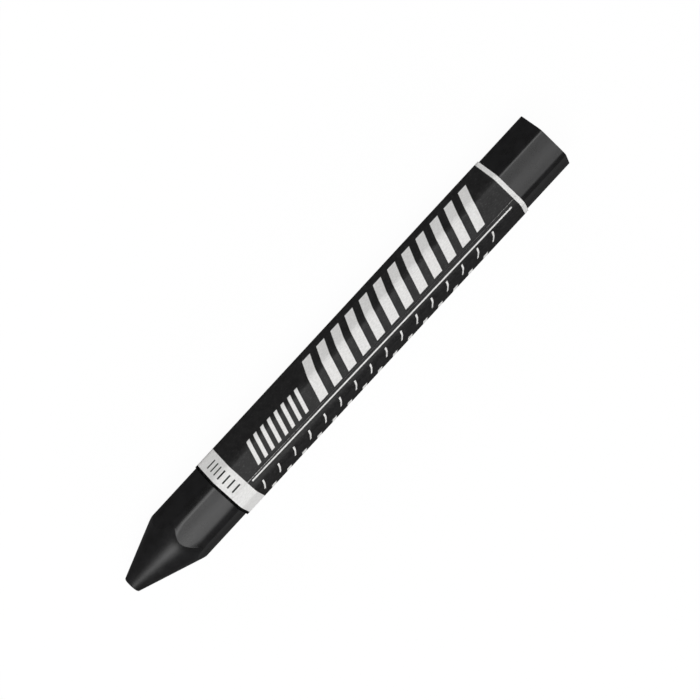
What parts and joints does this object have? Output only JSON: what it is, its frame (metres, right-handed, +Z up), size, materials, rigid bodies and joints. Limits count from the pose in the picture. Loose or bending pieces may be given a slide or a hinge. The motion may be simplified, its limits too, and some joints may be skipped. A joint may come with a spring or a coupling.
{
  "type": "marking crayon",
  "caption": "Hexagonal marking crayon: a black wax and clay bar with a blunt ground cone point, wrapped round its middle in a wound and pasted paper label.",
  "frame": {"origin": "on the table under the crayon, at the middle of its length and width", "axes": "+X along the stick towards the ground point, +Z up out of the top flat, +Y across the stick"},
  "size_m": [0.1174, 0.0139, 0.0125],
  "materials": {
    "wax": "satin pressed wax and clay",
    "printed_paper": "black printed label paper, lightly calendered",
    "paste": "dry translucent paste"
  },
  "bodies": {
    "root": {"crayon_stick": "wax", "paper_label": "printed_paper", "label_paste": "paste"}
  },
  "joints": []
}
